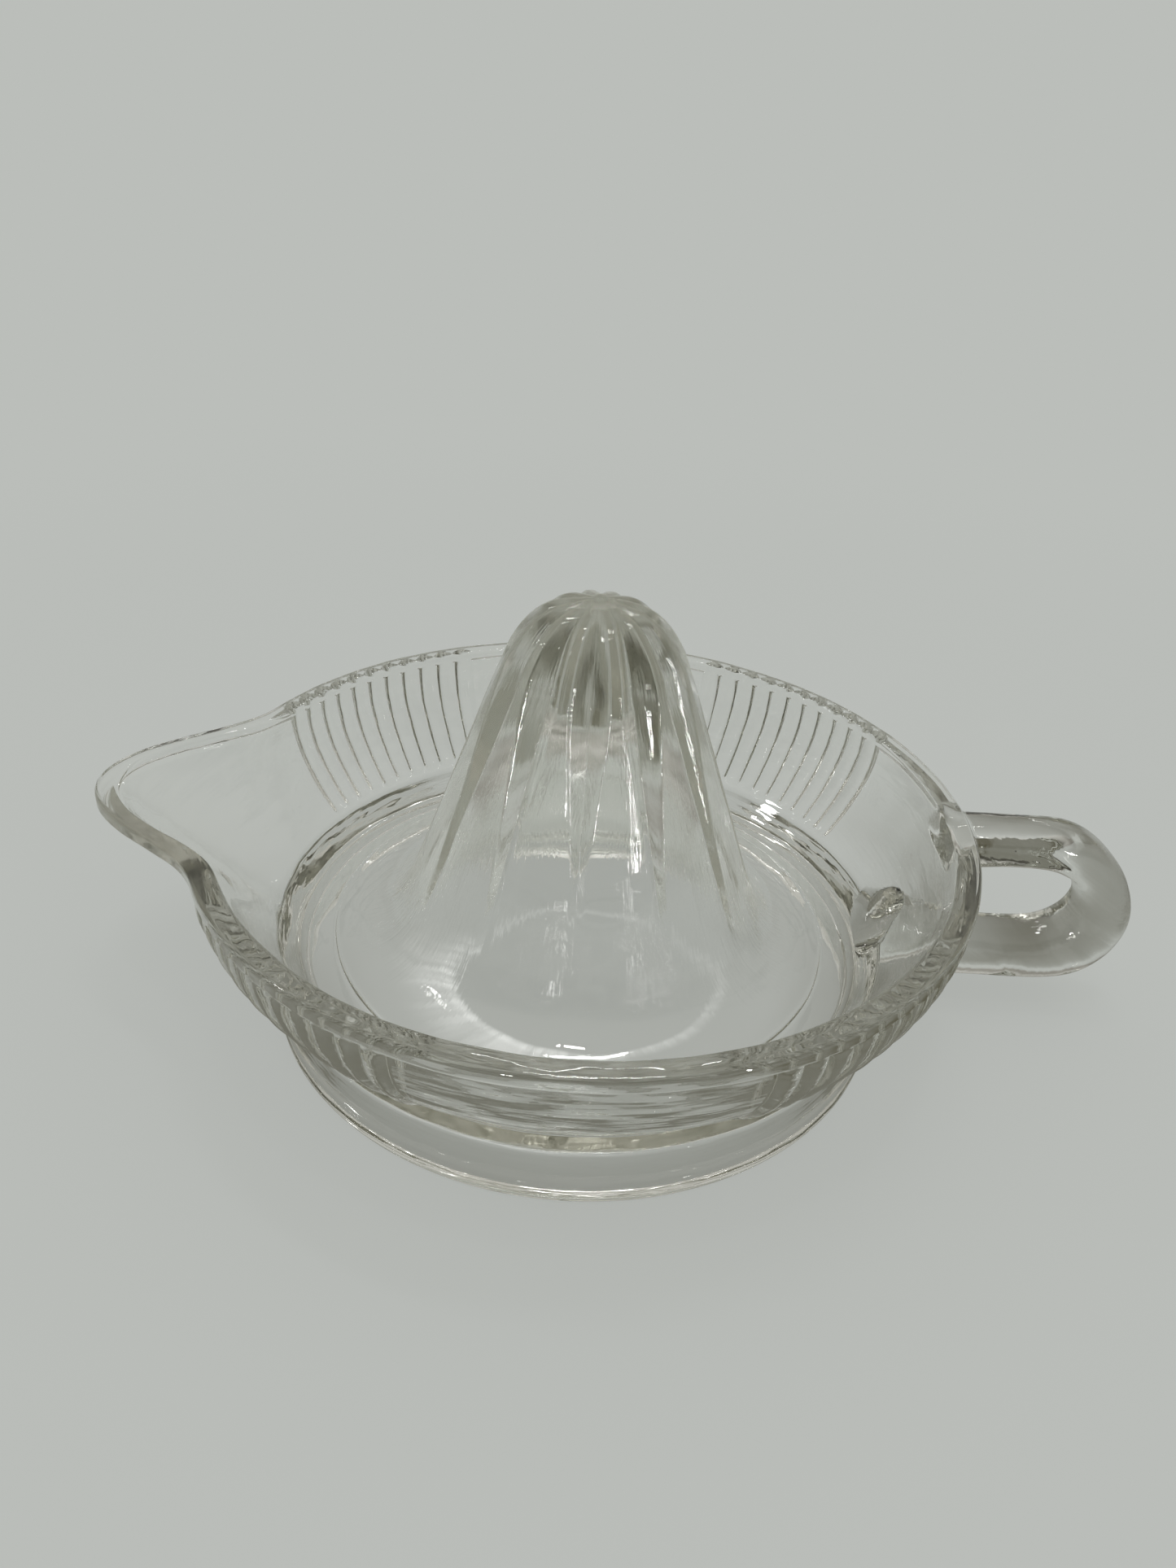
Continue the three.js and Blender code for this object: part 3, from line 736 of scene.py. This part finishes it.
def table_top():
    """Pale table: its own colour shows, with a part of the shading, so that the shadow stays."""
    material = bpy.data.materials.new("pale_table")
    graph = Graph(material)
    from_glass = graph.glass_ray()
    # The table's colour, darkened towards SHADE by the painted shades for rays that come from glass
    tone = graph.add("Mix", {
        "Factor": graph.product(shade(graph), from_glass),
        COLOUR_A: (*BACKGROUND, 1),
        COLOUR_B: (*SHADE, 1),
    }, data_type="RGBA").outputs[COLOUR_RESULT]
    matt = graph.add("BsdfDiffuse", {"Color": tone}).outputs["BSDF"]
    own = graph.add("Emission", {"Color": tone}).outputs["Emission"]
    away = graph.vector("LENGTH", graph.add("TexCoord").outputs["Object"])["Value"]
    own_share = graph.stepped(away, OWN_FADE, OWN_SHARE, 1)
    seen = graph.math("MAXIMUM", graph.camera_ray(), from_glass)
    # The ring of gathered light is painted: it glows from the table itself
    gathered = graph.add("Emission", {"Strength": painted_gathered_light(graph)}).outputs["Emission"]
    both = graph.add("AddShader", {
        0: graph.mixed(graph.product(own_share, seen), matt, own),
        1: gathered,
    })
    graph.add("OutputMaterial", {"Surface": both.outputs["Shader"]})
    return material


# Stage, in metres

TABLE_HALF = 3.0
TABLE_DROP = 0.05 * MM
EVEN_STRENGTH = 0.5

# The room that the glass shows, by the height of the view: near is the camera's side of the bowl
ROOM = (0.3, 0.29, 0.26)
CORNER = (0.03, 0.027, 0.02)
WALL = (0.52, 0.515, 0.48)
CEILING = (0.6, 0.59, 0.56)
FAR_ROOM = [(0.05, BACKGROUND), (0.15, ROOM), (0.25, ROOM), (0.4, WALL), (0.85, CEILING)]
NEAR_ROOM = [
    (0.0, BACKGROUND), (0.1, BACKGROUND), (0.2, CORNER), (0.52, CORNER), (0.65, WALL), (0.85, CEILING),
]
NEAR_TO_FAR = (-0.6, -0.1)

# Lamps: name, place, size and watts
LAMPS = [
    ("ceiling_light", (0.05, 0.1, 0.95), (0.3, 0.05), 2.4),
    ("overhead_lamp", (0, -0.17, 0.95), (0.1, 0.06), 1.1),
    ("left_lamp", (-0.68, 0, 0.57), (0.07, 0.07), 0.4),
    ("rear_strip", (-0.25, -0.87, 0.22), (0.04, 0.12), 0.9),
    ("right_strip", (0.55, -0.7, 0.2), (0.03, 0.3), 1.3),
    ("shelf_light", (0, 0.55, 0.65), (0.2, 0.01), 0.15),
]
LAMP_AIM = (0, 0, 0.03)


def floor():
    far, low = TABLE_HALF, -TABLE_DROP
    corners = [(-far, -far, low), (far, -far, low), (far, far, low), (-far, far, low)]
    mesh = bpy.data.meshes.new("table")
    mesh.from_pydata(corners, [], [(0, 1, 2, 3)])
    piece = bpy.data.objects.new("table", mesh)
    bpy.context.collection.objects.link(piece)
    piece.data.materials.append(table_top())


def room_colours(graph, height, stops):
    """Colour of the room by the height of the view into it."""
    ramp = graph.add("ValToRGB", {"Fac": height})
    marks = ramp.color_ramp.elements
    marks[0].position, marks[0].color = stops[0][0], (*stops[0][1], 1)
    marks[1].position, marks[1].color = stops[-1][0], (*stops[-1][1], 1)
    for position, colour in stops[1:-1]:
        marks.new(position).color = (*colour, 1)
    return ramp.outputs["Color"]


def surroundings():
    """World: even light for the scene, the background for the camera and a room for the glass."""
    world = bpy.data.worlds.new("room")
    bpy.context.scene.world = world
    graph = Graph(world)
    view = graph.add("TexCoord").outputs["Generated"]
    split = graph.add("SeparateXYZ", {"Vector": view}).outputs
    colours = graph.add("Mix", {
        "Factor": graph.stepped(split["Y"], NEAR_TO_FAR),
        COLOUR_A: room_colours(graph, split["Z"], NEAR_ROOM),
        COLOUR_B: room_colours(graph, split["Z"], FAR_ROOM),
    }, data_type="RGBA").outputs[COLOUR_RESULT]
    even = graph.add("Background", {"Color": (1, 1, 1, 1), "Strength": EVEN_STRENGTH})
    room = graph.add("Background", {"Color": colours})
    plain = graph.add("Background", {"Color": (*BACKGROUND, 1)})
    unseen = graph.mixed(graph.glass_ray(), even.outputs["Background"], room.outputs["Background"])
    shown = graph.mixed(graph.camera_ray(), unseen, plain.outputs["Background"])
    graph.add("OutputWorld", {"Surface": shown})


def soft_box(name, place, size, power):
    """A rectangular lamp that faces the reamer."""
    light = bpy.data.lights.new(name, "AREA")
    light.shape = "RECTANGLE"
    light.size, light.size_y = size
    light.energy = power
    holder = bpy.data.objects.new(name, light)
    holder.location = place
    holder.rotation_mode = "QUATERNION"
    holder.rotation_quaternion = (Vector(LAMP_AIM) - Vector(place)).to_track_quat("-Z", "Y")
    bpy.context.collection.objects.link(holder)


def lights():
    for lamp in LAMPS:
        soft_box(*lamp)


# Camera, in millimetres, as fitted to the ellipses of rim, floor and foot in the photograph

CAMERA_TURN = math.radians(-1.6)
CAMERA_BACK = 195.2
CAMERA_HEIGHT = 163.2
CAMERA_DIP = math.radians(31.01)
CAMERA_ROLL = math.radians(3.68)
CLIP_START = 10
SENSOR = 36.0
LENS = 27.03


def camera():
    data = bpy.data.cameras.new("camera")
    data.sensor_width = SENSOR
    data.lens = LENS
    data.clip_start = CLIP_START * MM
    holder = bpy.data.objects.new("camera", data)
    bpy.context.collection.objects.link(holder)
    level = Matrix.Rotation(math.pi / 2 - CAMERA_DIP, 4, "X")
    stand = Matrix.Translation((0, -CAMERA_BACK * MM, CAMERA_HEIGHT * MM))
    aim = stand @ level @ Matrix.Rotation(CAMERA_ROLL, 4, "Z")
    turned = Matrix.Translation(BOWL_MIDDLE) @ Matrix.Rotation(CAMERA_TURN, 4, "Z")
    holder.matrix_world = turned @ aim
    bpy.context.scene.camera = holder


# Light runs far inside the glass, by total reflection, before it comes out again
GLASS_BOUNCES = 24


def render_settings():
    scene = bpy.context.scene
    scene.view_settings.view_transform = "Standard"
    scene.cycles.max_bounces = GLASS_BOUNCES
    scene.cycles.transmission_bounces = GLASS_BOUNCES
    scene.cycles.glossy_bounces = GLASS_BOUNCES
    scene.cycles.caustics_reflective = False
    scene.cycles.caustics_refractive = False


reamer = pressing()
reamer.data.materials.clear()
reamer.data.materials.append(glass())
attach(reamer, "root")
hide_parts("foot_ring", "bowl_floor", "bowl_wall", "pour_spout", "reaming_cone", "handle")
floor()
surroundings()
lights()
camera()
render_settings()
